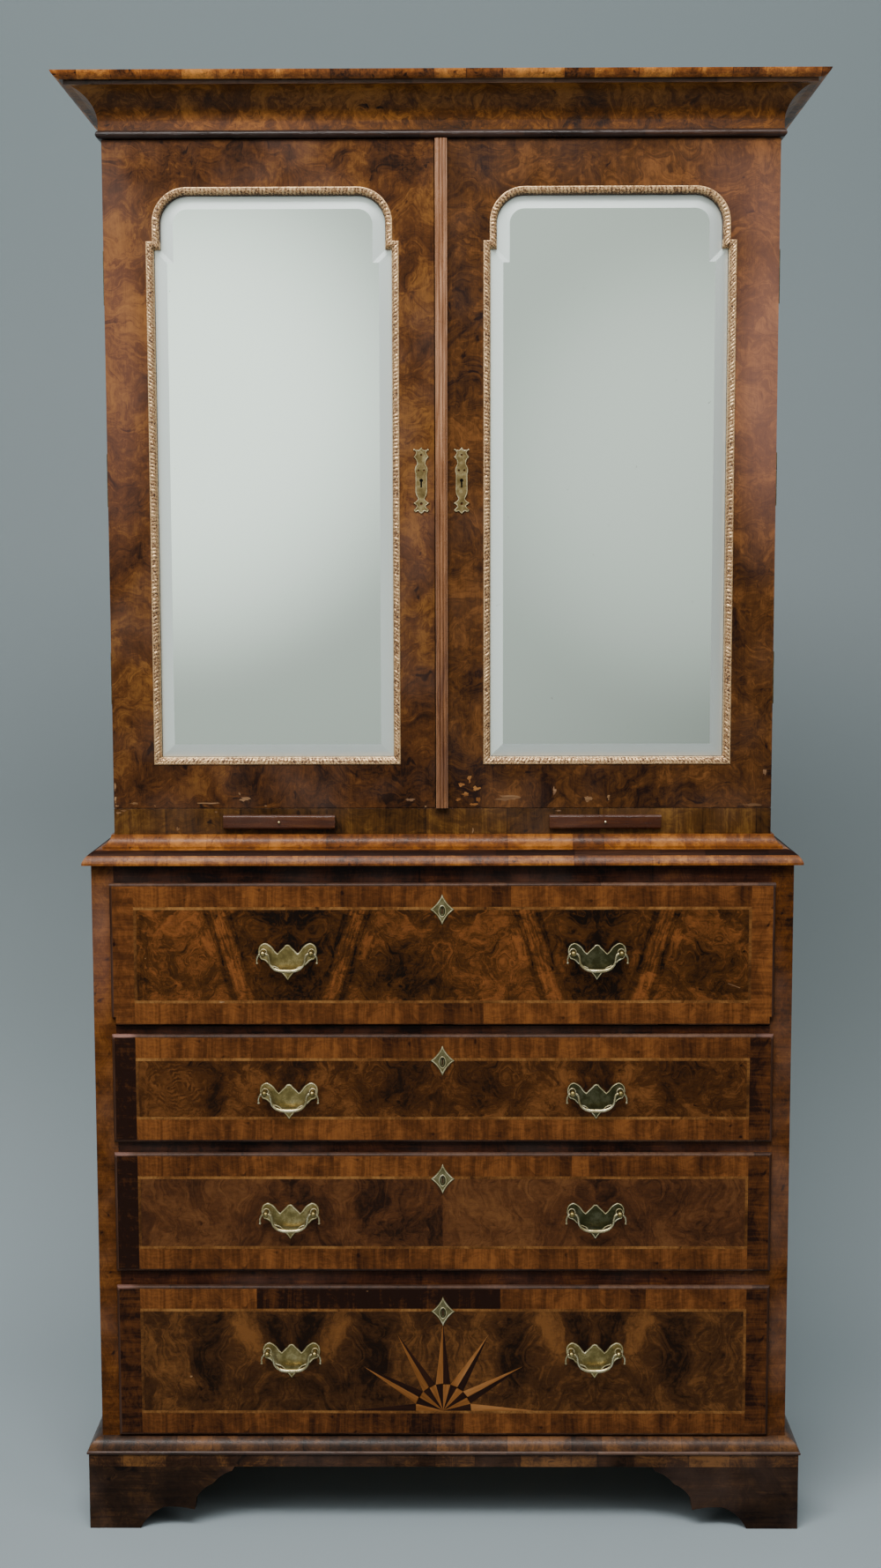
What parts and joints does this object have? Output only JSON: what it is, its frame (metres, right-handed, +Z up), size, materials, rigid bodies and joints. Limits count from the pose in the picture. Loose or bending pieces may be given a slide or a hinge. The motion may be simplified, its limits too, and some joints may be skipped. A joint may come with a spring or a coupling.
{
  "type": "secretary bookcase",
  "caption": "Two-part secretary bookcase: a bevelled-mirror cupboard with candle slides over a chest with a fall-front writing drawer, long drawers and bracket feet.",
  "frame": {"origin": "on the floor under the middle of the overall box", "axes": "+Z up, -Y towards the user (the front), +X to the user's right"},
  "size_m": [1.08, 0.43, 2.11],
  "materials": {
    "burr_walnut": "waxed burr veneer",
    "straight_walnut": "waxed",
    "cross_grain_walnut": "waxed",
    "red_walnut": "waxed",
    "dark_walnut": "dark wax",
    "oak": "bare, planed",
    "pine": "bare, aged",
    "brass": "dull, aged",
    "gilt": "worn water gilding",
    "mirror_glass": "bevelled plate"
  },
  "bodies": {
    "root": {"bracket_feet": "dark_walnut", "plinth_frame": "dark_walnut", "base_moulding": "cross_grain_walnut", "lower_side_panels": "straight_walnut", "lower_carcase_boards": "pine", "front_rails": "burr_walnut", "drawer_runners": "pine", "lower_back_boards": "pine", "waist_moulding": "cross_grain_walnut", "upper_side_panels": "straight_walnut", "upper_carcase_boards": "oak", "upper_back_boards": "pine", "bookshelves": "oak", "shelf_cleats": "pine", "candle_slide_rail": "cross_grain_walnut", "cornice": "cross_grain_walnut", "case_hinge_leaves": "brass"},
    "left_door": {"left_door_frame": "burr_walnut", "left_door_mirror": "mirror_glass", "left_gilt_slip": "gilt", "left_door_backboard": "pine", "left_door_escutcheon": "brass", "left_door_hinge_leaves": "brass"},
    "right_door": {"right_door_frame": "burr_walnut", "right_door_mirror": "mirror_glass", "right_gilt_slip": "gilt", "right_door_backboard": "pine", "right_door_escutcheon": "brass", "right_door_hinge_leaves": "brass", "door_astragal": "cross_grain_walnut", "door_lock": "brass"},
    "left_candle_slide": {"left_candle_slide": "red_walnut"},
    "right_candle_slide": {"right_candle_slide": "red_walnut"},
    "secretaire_drawer": {"secretaire_drawer_box": "oak", "pigeonhole_gallery": "oak", "fall_hinge_knuckles": "brass"},
    "fall": {"fall_front": "burr_walnut", "fall_stays": "brass", "fall_brasses": "brass"},
    "upper_drawer": {"upper_drawer_front": "burr_walnut", "upper_drawer_box": "oak", "upper_drawer_brasses": "brass"},
    "middle_drawer": {"middle_drawer_front": "burr_walnut", "middle_drawer_box": "oak", "middle_drawer_brasses": "brass"},
    "bottom_drawer": {"bottom_drawer_front": "burr_walnut", "bottom_drawer_box": "oak", "bottom_drawer_brasses": "brass"},
    "gallery_drawer_1": {"gallery_drawer_1": "oak"},
    "gallery_drawer_2": {"gallery_drawer_2": "oak"},
    "gallery_drawer_3": {"gallery_drawer_3": "oak"},
    "gallery_drawer_4": {"gallery_drawer_4": "oak"},
    "fall_left_bail": {"fall_left_bail": "brass"},
    "fall_right_bail": {"fall_right_bail": "brass"},
    "upper_drawer_left_bail": {"upper_drawer_left_bail": "brass"},
    "upper_drawer_right_bail": {"upper_drawer_right_bail": "brass"},
    "middle_drawer_left_bail": {"middle_drawer_left_bail": "brass"},
    "middle_drawer_right_bail": {"middle_drawer_right_bail": "brass"},
    "bottom_drawer_left_bail": {"bottom_drawer_left_bail": "brass"},
    "bottom_drawer_right_bail": {"bottom_drawer_right_bail": "brass"}
  },
  "joints": [
    {"name": "left_door_hinge", "type": "hinge", "parent": "root", "child": "left_door", "pos_m": [-0.4826, -0.1305, 1.553], "axis": [0, 0, -1], "range_deg": [0, 160]},
    {"name": "right_door_hinge", "type": "hinge", "parent": "root", "child": "right_door", "pos_m": [0.4826, -0.1305, 1.553], "axis": [0, 0, 1], "range_deg": [0, 160]},
    {"name": "left_candle_slide_travel", "type": "slide", "parent": "root", "child": "left_candle_slide", "axis": [0, -1, 0], "range_m": [0, 0.15]},
    {"name": "right_candle_slide_travel", "type": "slide", "parent": "root", "child": "right_candle_slide", "axis": [0, -1, 0], "range_m": [0, 0.15]},
    {"name": "secretaire_drawer_slide", "type": "slide", "parent": "root", "child": "secretaire_drawer", "axis": [0, -1, 0], "range_m": [0, 0.26]},
    {"name": "fall_hinge", "type": "hinge", "parent": "secretaire_drawer", "child": "fall", "pos_m": [0, -0.182, 0.771], "axis": [1, 0, 0], "range_deg": [0, 90]},
    {"name": "upper_drawer_slide", "type": "slide", "parent": "root", "child": "upper_drawer", "axis": [0, -1, 0], "range_m": [0, 0.3]},
    {"name": "middle_drawer_slide", "type": "slide", "parent": "root", "child": "middle_drawer", "axis": [0, -1, 0], "range_m": [0, 0.3]},
    {"name": "bottom_drawer_slide", "type": "slide", "parent": "root", "child": "bottom_drawer", "axis": [0, -1, 0], "range_m": [0, 0.3]},
    {"name": "gallery_drawer_1_slide", "type": "slide", "parent": "secretaire_drawer", "child": "gallery_drawer_1", "axis": [0, -1, 0], "range_m": [0, 0.11]},
    {"name": "gallery_drawer_2_slide", "type": "slide", "parent": "secretaire_drawer", "child": "gallery_drawer_2", "axis": [0, -1, 0], "range_m": [0, 0.11]},
    {"name": "gallery_drawer_3_slide", "type": "slide", "parent": "secretaire_drawer", "child": "gallery_drawer_3", "axis": [0, -1, 0], "range_m": [0, 0.11]},
    {"name": "gallery_drawer_4_slide", "type": "slide", "parent": "secretaire_drawer", "child": "gallery_drawer_4", "axis": [0, -1, 0], "range_m": [0, 0.11]},
    {"name": "fall_left_bail_swing", "type": "hinge", "parent": "fall", "child": "fall_left_bail", "pos_m": [-0.225, -0.2055, 0.87099], "axis": [-1, 0, 0], "range_deg": [0, 85]},
    {"name": "fall_right_bail_swing", "type": "hinge", "parent": "fall", "child": "fall_right_bail", "pos_m": [0.225, -0.2055, 0.87099], "axis": [-1, 0, 0], "range_deg": [0, 85]},
    {"name": "upper_drawer_left_bail_swing", "type": "hinge", "parent": "upper_drawer", "child": "upper_drawer_left_bail", "pos_m": [-0.225, -0.2055, 0.66395], "axis": [-1, 0, 0], "range_deg": [0, 85]},
    {"name": "upper_drawer_right_bail_swing", "type": "hinge", "parent": "upper_drawer", "child": "upper_drawer_right_bail", "pos_m": [0.225, -0.2055, 0.66395], "axis": [-1, 0, 0], "range_deg": [0, 85]},
    {"name": "middle_drawer_left_bail_swing", "type": "hinge", "parent": "middle_drawer", "child": "middle_drawer_left_bail", "pos_m": [-0.225, -0.2055, 0.48301], "axis": [-1, 0, 0], "range_deg": [0, 85]},
    {"name": "middle_drawer_right_bail_swing", "type": "hinge", "parent": "middle_drawer", "child": "middle_drawer_right_bail", "pos_m": [0.225, -0.2055, 0.48301], "axis": [-1, 0, 0], "range_deg": [0, 85]},
    {"name": "bottom_drawer_left_bail_swing", "type": "hinge", "parent": "bottom_drawer", "child": "bottom_drawer_left_bail", "pos_m": [-0.225, -0.2055, 0.27005], "axis": [-1, 0, 0], "range_deg": [0, 85]},
    {"name": "bottom_drawer_right_bail_swing", "type": "hinge", "parent": "bottom_drawer", "child": "bottom_drawer_right_bail", "pos_m": [0.225, -0.2055, 0.27005], "axis": [-1, 0, 0], "range_deg": [0, 85]}
  ]
}
